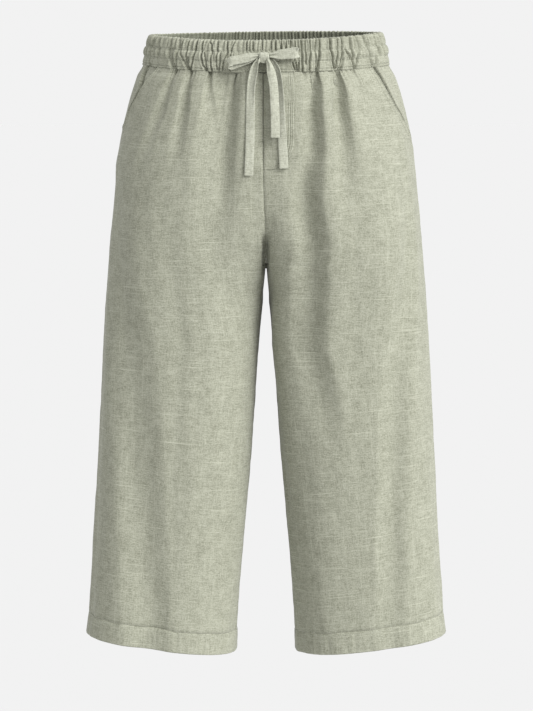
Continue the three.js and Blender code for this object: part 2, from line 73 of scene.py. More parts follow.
# z, half width, inside of the leg, front depth, back depth, squareness
SECTIONS = np.array([
    (30, 147.0, -147.0, 104, 104, 2.2), (18, 148.5, -148.5, 105, 105, 2.2),
    (3, 152.5, -152.5, 108, 108, 2.2), (-21, 158.0, -158.0, 111, 112, 2.2),
    (-35, 165.5, -162.5, 115, 117, 2.25), (-66, 175.0, -160.0, 119, 124, 2.3),
    (-105, 184.5, -140.0, 121, 130, 2.35), (-130, 189.0, -122.0, 121, 132, 2.4),
    (-195, 196.0, -76.0, 117, 130, 2.45), (-235, 200.0, -43.0, 112, 124, 2.5),
    (-275, 203.5, -12.0, 106, 115, 2.5), (-312, 206.5, 1.5, 101, 108, 2.45),
    (-390, 211.5, 9.8, 95, 101, 2.4), (-495, 217.0, 17.4, 89, 94, 2.4),
    (-600, 222.5, 26.4, 83, 87, 2.4), (-707, 229.5, 35.4, 79, 82, 2.4),
    (-744, 232.0, 38.0, 78, 80, 2.4), (-772, 235.5, 39.0, 79, 81, 2.4),
])
SEAM_ANGLES = np.array([(30, 7, 0), (-130, 8, 0), (-275, 10, 0), (-400, 12, 8), (-772, 14, 13)], float)

# from, to, place at the top, place at the foot, half width at the top, at the foot, depth (under 0: a ridge)
FOLDS = {
    "front_right": [
        (-21, -165, 0.65, 0.725, 0.035, 0.065, 5.5), (-21, -155, 0.545, 0.515, 0.035, 0.06, 7.0),
        (-21, -110, 0.415, 0.33, 0.028, 0.05, 4.5), (-21, -220, 0.215, 0.235, 0.05, 0.08, 6.5),
        (-21, -330, 0.28, 0.29, 0.15, 0.20, 12.0), (-60, -772, 0.38, 0.36, 0.14, 0.16, -3.5),
        (-170, -1200, 0.87, 0.37, 0.15, 0.17, 10.0),
    ],
    "front_left": [
        (-21, -60, 0.30, 0.28, 0.018, 0.02, 1.8), (-21, -310, 0.35, 0.14, 0.05, 0.14, 12.0),
        (-21, -310, 0.405, 0.30, 0.05, 0.14, -5.0), (-130, -520, 0.19, 0.38, 0.10, 0.10, 11.0),
        (-130, -520, 0.32, 0.475, 0.12, 0.13, -4.0), (-200, -600, 0.13, 0.14, 0.13, 0.14, -7.0),
        (-420, -1100, 0.06, 0.06, 0.24, 0.24, 3.0), (-21, -200, 0.494, 0.42, 0.045, 0.11, 11.0),
        (-21, -200, 0.55, 0.55, 0.04, 0.10, -4.0), (-21, -70, 0.63, 0.64, 0.02, 0.03, 2.5),
        (-180, -900, 0.80, 0.58, 0.09, 0.11, 9.0),
    ],
    "back_right": [
        (-21, -130, 0.12, 0.15, 0.035, 0.07, 6.0), (-21, -100, 0.24, 0.27, 0.03, 0.06, 4.0),
        (-21, -210, 0.37, 0.42, 0.045, 0.10, 9.0), (-21, -120, 0.5, 0.54, 0.03, 0.06, 4.0),
        (-21, -170, 0.63, 0.68, 0.04, 0.08, 7.0), (-21, -110, 0.76, 0.8, 0.03, 0.06, 4.0),
        (-21, -90, 0.88, 0.9, 0.03, 0.05, 3.0), (-200, -800, 0.3, 0.34, 0.13, 0.16, 10.0),
        (-260, -840, 0.7, 0.64, 0.13, 0.16, 8.0),
    ],
    "back_left": [
        (-21, -110, 0.1, 0.12, 0.03, 0.06, 4.0), (-21, -180, 0.22, 0.27, 0.045, 0.09, 8.0),
        (-21, -100, 0.35, 0.38, 0.03, 0.06, 4.0), (-21, -220, 0.48, 0.53, 0.045, 0.10, 9.0),
        (-21, -120, 0.6, 0.64, 0.03, 0.06, 4.0), (-21, -160, 0.73, 0.78, 0.04, 0.08, 7.0),
        (-21, -90, 0.86, 0.88, 0.03, 0.05, 3.0), (-220, -820, 0.36, 0.4, 0.14, 0.16, 10.0),
        (-300, -860, 0.76, 0.7, 0.12, 0.15, 7.0),
    ],
}


def clamp(t):
    return np.clip(t, 0.0, 1.0)


def lerp(a, b, t):
    return a + (b - a) * t


def smooth(t):
    t = clamp(t)
    return t * t * (3 - 2 * t)


def hump(t):
    return np.where(np.abs(t) < 1, (1 - np.minimum(t * t, 1)) ** 2, 0.0)


def unit(vectors):
    return vectors / np.maximum(np.linalg.norm(vectors, axis=-1, keepdims=True), 1e-9)


def run_of(points):
    """How far along a line each of its points lies."""
    return np.r_[0, np.cumsum(np.linalg.norm(np.diff(points, axis=0), axis=1))]


def point_at(place, run, points):
    """The point of a line, or the points, at a place along it."""
    return np.stack([np.interp(place, run, points[:, k]) for k in range(3)], -1)


def column(table, key):
    """A smooth curve through one column of a table whose z falls from row to row."""
    z, y = table[:, 0], table[:, key]
    slope = np.diff(y) / np.diff(z)
    a, b = np.r_[slope[0], slope], np.r_[slope, slope[-1]]
    tangent = np.where(a * b > 0, 2 * a * b / np.where(a + b == 0, 1, a + b), 0)

    def at(q):
        q = np.asarray(q, float)
        k = np.clip(np.searchsorted(-z, -q, side="right") - 1, 0, len(z) - 2)
        step, rise = z[k + 1] - z[k], y[k + 1] - y[k]
        t = clamp((q - z[k]) / step)
        m0, m1 = tangent[k] * step, tangent[k + 1] * step
        return y[k] + m0 * t + (3 * rise - 2 * m0 - m1) * t**2 + (m0 + m1 - 2 * rise) * t**3

    return at


HALF, INNER, FRONT, BACK, SQUARE = (column(SECTIONS, k) for k in range(1, 6))
SIDE_ANGLE, INSIDE_ANGLE = column(SEAM_ANGLES, 1), column(SEAM_ANGLES, 2)


def pocket_edge(panel, z):
    """Where a front panel ends: at the pocket mouth, which slants out to the side seam. A back runs to 1."""
    if panel.startswith("back"):
        return np.ones(np.shape(z))
    start, foot, bow = MOUTH[panel.split("_")[1]]
    return lerp(start, 1.0, clamp((SEAM - z) / (SEAM - foot)) ** bow)


def angle_ends(z, face):
    """The angles round the leg's oval of a panel's first fold line, of its edge and of its side seam."""
    width, centre = (HALF(z) - INNER(z)) / 2, (HALF(z) + INNER(z)) / 2
    depth0, square = (FRONT if face == "front" else BACK)(z), SQUARE(z)
    reach = np.minimum(1.0, np.abs(centre) / width)
    depth = depth0 * (1 - reach**square) ** (1 / square)
    sign = 1 if face == "front" else -1
    inner = np.where(z <= CROTCH, np.pi - sign * np.radians(INSIDE_ANGLE(z)), np.arctan2(depth, -centre))
    steady = lerp(np.pi / 2, np.pi, smooth((SEAM - z) / 430))
    base = np.minimum(steady, inner)
    return base, inner, sign * np.radians(SIDE_ANGLE(z))


def panel_angle(z, face, u):
    """The angle round the leg's oval of the point at share u across a panel."""
    base, inner, side = angle_ends(z, face)
    return lerp(base, side, u) + (inner - base) * (1 - u) ** 9


def straight_share(panel, u, z):
    """The share across a panel along lines that run straight on past the crotch, where the cloth starts
    to reach round the inside of the leg. It is under 0 on the part that reaches round."""
    base, inner, side = angle_ends(z, panel.split("_")[0])
    return u - (inner - base) * (1 - u) ** 9 / (base - side) * (z <= CROTCH)


def fold_share(panel, u, z):
    """The share across a panel that its folds follow, and one that is 0 at its seam."""
    straight = np.maximum(straight_share(panel, u, z), 0.0)
    return straight, lerp(straight, u, smooth((CROTCH - z) / 80))


def fold_depth(panel, u, z):
    """How far the large folds of a panel sink it."""
    total = np.zeros(np.broadcast(u, z).shape)
    place, from_seam = fold_share(panel, u, z)
    for start, stop, at, end, width, spread, depth in FOLDS[panel]:
        t = clamp((start - z) / (start - stop))
        if start == SEAM:
            along = lerp(0.5, 1.0, smooth((SEAM - z) / 18)) * (1 - t * t) ** 1.5
        else:
            along = np.sin(np.pi * t**0.7) ** 1.2 * (t > 0) * (t < 1)
        total = total + depth * along * hump((place - lerp(at, end, t)) / lerp(width, spread, t))
    return total * smooth(from_seam / 0.06) * smooth((pocket_edge(panel, z) - u) / 0.07)


def mouth_lift(panel, u, z):
    """The pocket mouth stands a little open."""
    t = (SEAM - z) / (SEAM - MOUTH[panel.split("_")[1]][1])
    near = smooth((u - pocket_edge(panel, z) + 0.16) / 0.16)
    return POCKET["gape"] * near * smooth(t / 0.3) * smooth((1 - t) / 0.1)


def cloth(panel, u, z):
    """Points on the outside of a panel's cloth, in millimetres."""
    face, side = panel.split("_")
    u, z = np.broadcast_arrays(np.asarray(u, float), np.asarray(z, float))
    width, centre = (HALF(z) - INNER(z)) / 2, (HALF(z) + INNER(z)) / 2
    square = SQUARE(z)
    angle = panel_angle(z, face, u)
    cos, sin = np.cos(angle), np.sin(angle)
    ahead = (sin >= 0) == (face == "front")
    depth = np.where(ahead, FRONT(z), BACK(z))
    radius = ((np.abs(cos) / width) ** square + (np.abs(sin) / depth) ** square) ** (-1 / square)
    x, y = radius * cos, np.where(ahead, -1, 1) * radius * np.abs(sin)
    nx = np.sign(x) * np.abs(x / width) ** (square - 1) / width
    ny = np.sign(y) * np.abs(y / depth) ** (square - 1) / depth
    size = np.hypot(nx, ny)
    inwards = fold_depth(panel, u, z)
    x, y = x - nx / size * inwards, y - ny / size * inwards
    parting = 0.2 + 3.6 * clamp((CROTCH - z) / 38)
    x = np.where(z < CROTCH, np.maximum(x, parting - centre), x)
    share = (y / depth) ** 2 * smooth((z + 170) / 150)
    dip = np.where(y < 0, -FRONT_DIP, BACK_RISE) * share
    tilt = HEM_TILT * smooth((-300 - z) / 300) * x
    across = (1 if side == "left" else -1) * (centre + x)
    # The centre front seam runs a little to the wearer's right.
    across = across - CENTRE_SHIFT * np.exp(-((across / 50) ** 2)) * (y < 0) * smooth((z + 250) / 90)
    return np.stack([across, y, z + dip + tilt], -1)


def noise(seed, a, b):
    """Smooth noise of two coordinates, from about -1 to 1, one cell to the unit."""
    cells = np.random.default_rng(seed).uniform(-1, 1, (64, 64))
    i, j = np.floor(a).astype(int), np.floor(b).astype(int)
    f, g = a - i, b - j
    f, g = f * f * f * (f * (6 * f - 15) + 10), g * g * g * (g * (6 * g - 15) + 10)
    top = lerp(cells[i % 64, j % 64], cells[(i + 1) % 64, j % 64], f)
    foot = lerp(cells[i % 64, (j + 1) % 64], cells[(i + 1) % 64, (j + 1) % 64], f)
    return lerp(top, foot, g)


# ---- meshes ----
def out_of(points, sign):
    """The outward normals of a grid of points. sign is 1 where its rows go down and its columns run
    anticlockwise, seen from above."""
    return sign * unit(np.cross(np.gradient(points, axis=1), np.gradient(points, axis=0)))


def new_object(name, vertices, faces, uv, material):
    """A smooth-shaded mesh. uv gives one pair for each corner of each face."""
    mesh = bpy.data.meshes.new(name)
    faces = np.asarray(faces, np.int32)
    mesh.vertices.add(len(vertices))
    mesh.vertices.foreach_set("co", (np.asarray(vertices, float) * MM).ravel())
    mesh.loops.add(faces.size)
    mesh.loops.foreach_set("vertex_index", faces.ravel())
    mesh.polygons.add(len(faces))
    mesh.polygons.foreach_set("loop_start", np.arange(0, faces.size, faces.shape[1], dtype=np.int32))
    mesh.polygons.foreach_set("use_smooth", np.ones(len(faces), bool))
    layer = mesh.uv_layers.new(name="grain")
    layer.uv.foreach_set("vector", (np.asarray(uv, np.float32) * MM).ravel())
    mesh.update(calc_edges=True)
    mesh.validate()
    mesh.materials.append(material)
    made = bpy.data.objects.new(name, mesh)
    scene.collection.objects.link(made)
    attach(made, "root")
    return made


def inside_out(vertices, faces):
    """Whether the faces of a closed mesh point inwards: the volume that they enclose is then under 0."""
    p = vertices[faces]
    return sum((p[:, 0] * np.cross(p[:, k], p[:, k + 1])).sum() for k in range(1, p.shape[1] - 1)) < 0


def shell(name, outer, inner, uv, material, ring=False, shade_material=None, shade_part=None):
    """A closed wall between two grids of one size, with its free edges rounded. Its inner side, or the
    chosen part of its outer side, can have a second material of its own: a darker linen, painted shade."""
    count, rows = outer.shape[:2]
    thick = np.linalg.norm(outer - inner, axis=-1, keepdims=True)

    def rim(edge, next_in):
        """The middle of a free edge, bulging outwards by part of the wall."""
        away = unit(outer[edge] - outer[next_in])
        return (outer[edge] + inner[edge]) / 2 + away * thick[edge] * 0.35

    every = slice(None)
    grids = [outer.reshape(-1, 3), inner.reshape(-1, 3)]
    grids += [rim((every, 0), (every, 1)), rim((every, -1), (every, -2))]
    if not ring:
        grids += [rim((0, every), (1, every)), rim((-1, every), (-2, every))]
    starts = np.cumsum([0] + [len(g) for g in grids])
    a = np.arange(count * rows).reshape(count, rows)
    b = a + starts[1]
    top, foot = starts[2] + np.arange(count), starts[3] + np.arange(count)
    if not ring:
        # The corners of the rims are shared.
        left, right = starts[4] + np.arange(rows), starts[5] + np.arange(rows)
        left[0], left[-1], right[0], right[-1] = top[0], foot[0], top[-1], foot[-1]
    faces, corners = [], []
    if ring:
        a, b, top, foot = (np.concatenate([x, x[:1]]) for x in (a, b, top, foot))

    def strip(p, q, up, uq, turn=False):
        """Quads between two lines of vertices, with each line's own uv."""
        quad = np.stack([p[:-1], p[1:], q[1:], q[:-1]], -1)
        pair = np.stack([up[:-1], up[1:], uq[1:], uq[:-1]], -2)
        faces.append(quad[:, ::-1] if turn else quad)
        corners.append(pair[:, ::-1] if turn else pair)

    for j in range(rows - 1):
        strip(a[:, j], a[:, j + 1], uv[:, j], uv[:, j + 1])
        strip(b[:, j], b[:, j + 1], uv[:, j], uv[:, j + 1], True)
    for line, j, turn in ((top, 0, True), (foot, rows - 1, False)):
        strip(a[:, j], line, uv[:, j], uv[:, j], turn)
        strip(line, b[:, j], uv[:, j], uv[:, j], turn)
    if not ring:
        for line, i, turn in ((left, 0, False), (right, -1, True)):
            strip(a[i], line, uv[i], uv[i], turn)
            strip(line, b[i], uv[i], uv[i], turn)
    vertices, faces = np.concatenate(grids), np.concatenate(faces)
    corners = np.concatenate(corners)
    if inside_out(vertices, faces):
        faces, corners = faces[:, ::-1], corners[:, ::-1]
    # Vertices that no face uses, at the shared corners, are dropped.
    used, renumbered = np.unique(faces, return_inverse=True)
    made = new_object(name, vertices[used], renumbered.reshape(faces.shape), corners, material)
    # The second material is painted shade.
    if shade_material:
        made.data.materials.append(shade_material)
        chosen = np.zeros(len(vertices), bool)
        if shade_part is None:
            chosen[starts[1]:starts[2]] = True
        else:
            chosen[:starts[1]] = shade_part.ravel()
        inside = chosen[faces].all(1)
        made.data.polygons.foreach_set("material_index", inside.astype(np.int32))
    return made


# ---- materials ----
def linen(name, light, mid, dark, slub=1.0, heather=1.0):
    """Heathered, slubby linen. Its pattern follows the grain that each mesh carries, in metres."""
    made = bpy.data.materials.new(name)
    made.use_nodes = True
    nodes, links = made.node_tree.nodes, made.node_tree.links
    nodes.clear()

    def node_of(kind, inputs, **settings):
        """A new node. Each of its inputs is given a plain value or another node's output."""
        node = nodes.new("ShaderNode" + kind)
        for key, value in settings.items():
            setattr(node, key, value)
        for key, value in inputs.items():
            if isinstance(value, bpy.types.NodeSocket):
                links.new(value, node.inputs[key])
            else:
                node.inputs[key].default_value = value
        return node

    grain = node_of("UVMap", {}, uv_map="grain").outputs[0]

    def noise_of(across, down, detail=2.0, rough=0.5, seed=0.0):
        """Noise with so many cells to the metre across the cloth and down it, as a value about 0.5."""
        cells = {"Scale": (across, down, 1), "Location": (seed, seed * 1.7, seed * 0.3)}
        place = node_of("Mapping", {"Vector": grain, **cells}).outputs[0]
        look = {"Vector": place, "Scale": 1.0, "Detail": detail, "Roughness": rough}
        return node_of("TexNoise", look).outputs["Fac"]

    def math_of(kind, a, b, clamp_it=False):
        return node_of("Math", {0: a, 1: b}, operation=kind, use_clamp=clamp_it).outputs[0]

    def spread(value, low, high, to_low=0.0, to_high=1.0):
        ends = {"From Min": low, "From Max": high, "To Min": to_low, "To Max": to_high}
        return node_of("MapRange", {"Value": value, **ends}).outputs[0]

    def sum_of(*parts, clamp_it=False):
        """The sum of values, each times its weight."""
        total = math_of("MULTIPLY", *parts[0])
        for part in parts[1:]:
            total = math_of("ADD", total, math_of("MULTIPLY", *part), clamp_it and part is parts[-1])
        return total

    weft = spread(noise_of(130, 950, 2.5, 0.6, 1.0), 0.3, 0.7)  # threads across, uneven in thickness
    warp = spread(noise_of(950, 110, 2.5, 0.6, 5.0), 0.3, 0.7)  # threads down
    cloud = spread(noise_of(60, 75, 3.0, 0.6, 9.0), 0.3, 0.7)
    fleck = spread(noise_of(480, 620, 2.0, 0.6, 13.0), 0.3, 0.7)
    bars = spread(noise_of(14, 560, 1.5, 0.5, 17.0), 0.61, 0.75)  # thick slubs across
    thin = spread(noise_of(40, 800, 1.0, 0.5, 21.0), 0.62, 0.78)
    posts = spread(noise_of(300, 9, 1.5, 0.5, 25.0), 0.58, 0.78)  # a few slubs down

    total = sum_of((weft, 0.28), (warp, 0.22), (cloud, 0.14), (fleck, 0.36))
    ramp = node_of("ValToRGB", {"Fac": total})
    stops = ramp.color_ramp.elements
    stops[0].position, stops[0].color = 0.5 - 0.28 * heather, (*dark, 1)
    stops[1].position, stops[1].color = 0.5 + 0.3 * heather, (*light, 1)
    stops.new(0.5).color = (*mid, 1)
    streaks = sum_of((bars, 0.6 * slub), (thin, 0.3 * slub), (posts, 0.25 * slub), clamp_it=True)
    brighter = (*[min(1, c * 1.16) for c in light], 1)
    colours = {"Factor": streaks, "A": ramp.outputs["Color"], "B": brighter}
    pale = node_of("Mix", colours, data_type="RGBA")
    height = sum_of((weft, 0.5), (warp, 0.4), (streaks, 0.5))
    bump = node_of("Bump", {"Strength": 0.45, "Distance": 0.0004, "Height": height})
    shader = node_of("BsdfPrincipled", {
        "Base Color": pale.outputs["Result"], "Roughness": spread(fleck, 0.0, 1.0, 0.82, 0.95),
        "Sheen Weight": 0.12, "Sheen Roughness": 0.5, "Specular IOR Level": 0.25, "Normal": bump.outputs[0],
    })
    node_of("OutputMaterial", {"Surface": shader.outputs[0]})
    return made


CLOTH_LINEN = linen("linen", (0.36, 0.366, 0.295), (0.266, 0.271, 0.212), (0.168, 0.172, 0.126))
TAPE_LINEN = linen("tape_linen", (0.42, 0.428, 0.355), (0.35, 0.357, 0.29), (0.26, 0.265, 0.21), 0.3, 0.8)
# The same linen, darker: painted shade for the inside of the waistband and the crack beside each pocket
# mouth.
SHADE_LINEN = linen("linen_painted_shade", (0.25, 0.26, 0.205), (0.185, 0.192, 0.145), (0.12, 0.127, 0.09))
THREAD = linen("thread", (0.40, 0.41, 0.34), (0.33, 0.34, 0.275), (0.26, 0.27, 0.21), 0.0, 0.6)

# ---- the drawstring ----
TAPE_WIDTH, TAPE_WALL = 11.0, 1.0
BUNCH = 1.3  # the height of the lengthwise folds by the knot
BAND_FRONT = -(float(FRONT(0)) + 3)
KNOT = dict(x=-2.6, out=6.2, z=-10.5, width=13.5, depth=8.4, height=14.0)


def bow_point(p):
    return (p[0], BAND_FRONT - p[1], p[2])


def curve_through(points, count):
    """Evenly spaced points on a smooth curve through the given ones, and its length."""
    points = np.asarray(points, float)
    chord = np.r_[0, np.cumsum(np.sqrt(np.linalg.norm(np.diff(points, axis=0), axis=1)))]
    fine = np.linspace(0, chord[-1], 600)
    slopes = np.diff(points, axis=0) / np.diff(chord)[:, None]
    tangent = np.vstack([slopes[0], (slopes[1:] + slopes[:-1]) / 2, slopes[-1]])
    k = np.clip(np.searchsorted(chord, fine, side="right") - 1, 0, len(points) - 2)
    step = (chord[k + 1] - chord[k])[:, None]
    t = ((fine - chord[k])[:, None]) / step
    line = (
        (2 * t**3 - 3 * t**2 + 1) * points[k] + (t**3 - 2 * t**2 + t) * step * tangent[k]
        + (3 * t**2 - 2 * t**3) * points[k + 1] + (t**3 - t**2) * step * tangent[k + 1]
    )
    run = run_of(line)
    return point_at(np.linspace(0, run[-1], count + 1), run, line), run[-1]


def tape(name, path, ups, count, width=TAPE_WIDTH, crown=0.4, pinch=(0, 0), seed=0, vee=(0, 1)):
    """A flat tape along a path, softly cupped, with turned edges and a little waver. "pinch" is the length
    over which each end is narrowed. "vee" sinks the middle into a trough: how deep at the start, and over
    what length."""
    line, length = curve_through(path, count)
    along = unit(np.gradient(line, axis=0))
    share = np.linspace(0, 1, count + 1)
    up = point_at(share, np.linspace(0, 1, len(ups)), np.asarray(ups, float))
    up = unit(up - (up * along).sum(1, keepdims=True) * along)
    face = np.cross(along, up)
    free = smooth((share * length + 1) / (pinch[0] + 1)) * smooth(((1 - share) * length + 1) / (pinch[1] + 1))
    across = np.linspace(-1, 1, 15)
    reach = (lerp(0.45, 1, free) * width / 2)[:, None] * across[None, :]
    # Bunched near the knot, each tape has a lengthwise fold.
    fold = (1 - free)[:, None] * BUNCH * np.cos(across * np.pi * 1.5)[None, :]
    trough = vee[0] * smooth(1 - share * length / vee[1])
    fold = fold - trough[:, None] * smooth((0.92 - np.abs(across)) / 0.5)[None, :]
    waver = 0.3 * noise(seed, share[:, None] * length / 9 + 0 * across, across[None, :] * 1.5 + 3)
    rise = crown * (1 - across[None, :] ** 2) + fold + waver
    middle = line[:, None, :] + up[:, None, :] * reach[..., None]
    edge = 0.5 + 0.5 * np.sqrt(np.maximum(0, 1 - across[None, :] ** 6))
    outer = middle + face[:, None, :] * (rise + TAPE_WALL / 2 * edge)[..., None]
    inner = middle + face[:, None, :] * (rise - TAPE_WALL / 2 * edge)[..., None]
    uv = np.stack(np.broadcast_arrays(across[None, :] * width / 2 + seed * 40, -share[:, None] * length), -1)
    return shell(name, outer, inner, uv, TAPE_LINEN), line, length


def bow_loop(name, side, reach, back, front, seed):
    """The tape goes out from the knot, folds over and comes back in front of itself. "back" and "front" are
    how steeply its two layers rise."""
    x0 = KNOT["x"] + side * (KNOT["width"] / 2 + 0.7)
    bend = [
        (0, 4.9, back), (9, 4.2, back), (reach - 9, 4.2, back), (reach - 3, 4.3, back),
        (reach, 5.9, (front + back) / 2),
        (reach - 3, 7.6, front), (reach - 9, 7.8, front), (9, 7.2, front), (0, 6.6, front),
    ]
    path = [bow_point((x0 + side * along, out, KNOT["z"] + 2.5 + rise * along)) for along, out, rise in bend]
    made = tape(name, path, [(-side * (front + back) / 2, 0, 1)], 110, pinch=(15, 15), seed=seed)[0]
    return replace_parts(made, name.replace("tape_", ""))


def knot():
    """A wrap of the tape that comes over from above and goes in under itself."""
    turn, rise = np.meshgrid(np.linspace(0, 2 * np.pi, 73), np.linspace(0, np.pi, 49), indexing="ij")
    soften = lambda v, power: np.sign(v) * np.abs(v) ** power
    wide, tall = soften(np.sin(rise), 0.6), soften(np.cos(rise), 0.8)
    ball = np.stack([wide * soften(np.cos(turn), 0.65), wide * soften(np.sin(turn), 0.65), tall], -1)
    # Narrower at its foot, with soft lengthwise creases and a flat slanting front.
    ball[..., 0] *= 1 - 0.16 * smooth((0.2 - ball[..., 2]) / 1.1) + 0.05 * ball[..., 2]
    crease = hump((ball[..., 0] + 0.35 * ball[..., 2] - 0.25) / 0.16)
    shape = 1 + 0.02 * np.sin(ball[..., 0] * 9 + 0.6) - 0.07 * crease
    ball[..., 1] *= np.where(ball[..., 1] < 0, 1 - 0.55 * smooth((0.35 - ball[..., 2]) / 1.2), 1)
    size = np.array([KNOT["width"], KNOT["depth"], KNOT["height"]]) / 2
    points = np.array(bow_point((KNOT["x"], KNOT["out"], KNOT["z"]))) + ball * shape[..., None] * size
    count, rows = points.shape[0] - 1, points.shape[1]
    index = (np.arange(count)[:, None] * (rows - 2) + np.arange(rows - 2)[None, :])
    ring = np.vstack([index, index[:1]])
    vertices = np.vstack([points[:count, 1:-1].reshape(-1, 3), points[0, 0], points[0, -1]])
    quads = np.stack([ring[:-1, :-1], ring[1:, :-1], ring[1:, 1:], ring[:-1, 1:]], -1).reshape(-1, 4)
    tops = np.stack([np.full(count, len(vertices) - 2), ring[1:, 0], ring[:-1, 0]], -1)
    feet = np.stack([np.full(count, len(vertices) - 1), ring[:-1, -1], ring[1:, -1]], -1)
    faces = np.vstack([quads[:, [0, 3, 2]], quads[:, [0, 2, 1]], tops[:, ::-1], feet[:, ::-1]])
    if inside_out(vertices, faces):
        faces = faces[:, ::-1]
    uv = np.stack([vertices[faces][..., 0], vertices[faces][..., 2]], -1)
    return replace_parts(new_object("tape_knot", vertices, faces, uv, TAPE_LINEN), "drawstring_knot")


ENDS = {
    "right": dict(
        path=[
            (-9.6, 8.4, -11), (-12.4, 10.2, -17), (-16.4, 9.8, -32), (-19, 9.2, -52), (-19.6, 10.6, -86),
            (-20.2, 11, -122), (-21.6, 11, -157),
        ],
        up=[(0.7, -0.2, 0.7), (0.92, -0.35, 0.2), (0.97, -0.2, 0.05), (1, 0.05, 0), (1, 0.05, 0)],
        vee=(3.6, 80),
    ),
    "middle": dict(
        path=[
            (1.6, 8.6, -12.5), (4.4, 10.4, -20), (9, 12.4, -42), (10.6, 14.2, -62), (11.4, 15.6, -86),
            (11.6, 15.8, -109.5),
        ],
        up=[(0.9, 0.2, 0.3), (1, 0.15, 0.05), (1, 0.05, 0)],
        vee=(-0.8, 90),
    ),
    "left": dict(
        path=[
            (3.4, 4.6, -10.5), (8.8, 5.6, -17.5), (14.2, 7.6, -32), (17, 10.6, -50), (18.6, 12.6, -80),
            (20.4, 13, -112), (22.4, 12.6, -148),
        ],
        up=[
            (0.5, 0.1, 0.85), (0.8, -0.45, 0.3), (0.85, -0.45, 0.05), (0.92, -0.3, 0), (1, -0.05, 0),
            (1, 0.05, 0),
        ],
        vee=(3.2, 90),
    ),
}
on_right = [knot(), bow_loop("tape_bow_loop_right", -1, 36, -0.36, -0.2, 1)]
on_left = [bow_loop("tape_bow_loop_left", 1, 35, 0.15, 0.07, 2)]
for side, group in ((-1, on_right), (1, on_left)):
    word = "right" if side < 0 else "left"
    path = [bow_point((KNOT["x"] + side * along, 1.1, KNOT["z"] + 1)) for along in (19, 14, 9, 5, 1.2)]
    lead = tape("tape_lead_" + word, path, [(0, 0, 1)], 24, 9, 0, seed=5 + side)[0]
    group.append(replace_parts(lead, "drawstring_lead_" + word))
for number, (word, spec) in enumerate(ENDS.items()):
    path = [bow_point(p) for p in spec["path"]]
    name = "tape_end_" + word
    end, line, length = tape(name, path, spec["up"], 130, pinch=(20, 0), seed=11 + number, vee=spec["vee"])
    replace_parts(end, "drawstring_end_" + word)

# ---- the leg panels ----
PANEL_WIDTH = 300.0  # of the flat panel, for the grain
HALF_GAP = 0.06  # half the gap between two panels that meet
SEEDS = dict(front_right=10, front_left=30, back_right=50, back_left=70)
# Where each piece starts in the weave, so that no two pieces show the same threads.
GRAIN_STARTS = dict(
    front_right=100, front_left=800, back_right=1500, back_left=2200, pocket=2800, waistband=3600,
    hem_left=5000, hem_right=5800, fly=700.7,
)
# Just above the crotch the two legs part a little in front: where, half how wide and how deep.
PARTING = dict(x=-0.6, half=4.8, deep=13.0)
# Beside the pocket mouth runs a crack: how deep it is, how wide at the top and lower down, how full the
# facing stands beyond it, and how wide a turned strip of the facing shows first on the wearer's right.
CRACK = dict(deep=11.0, top=7.0, low=4.0, full=2.4, strip=27.0)
COLUMNS = {"front": 165, "back": 100}
ROWS = np.r_[
    np.linspace(SEAM, -28, 14), np.linspace(-29, -60, 32), np.linspace(-61.6, -160, 46),
    np.linspace(-163, -262, 34), np.linspace(-264.5, CROTCH + 0.1, 5), np.linspace(CROTCH - 0.1, -290, 7),
    np.linspace(-294, HEM_STITCH, 98),
]


def column_place(panel, share, z):
    """Where a column of the mesh lies across a panel: closer together beside a pocket mouth."""
    return np.where(share < 0.5, share, lerp(0.5, pocket_edge(panel, z), (share - 0.5) / 0.5))


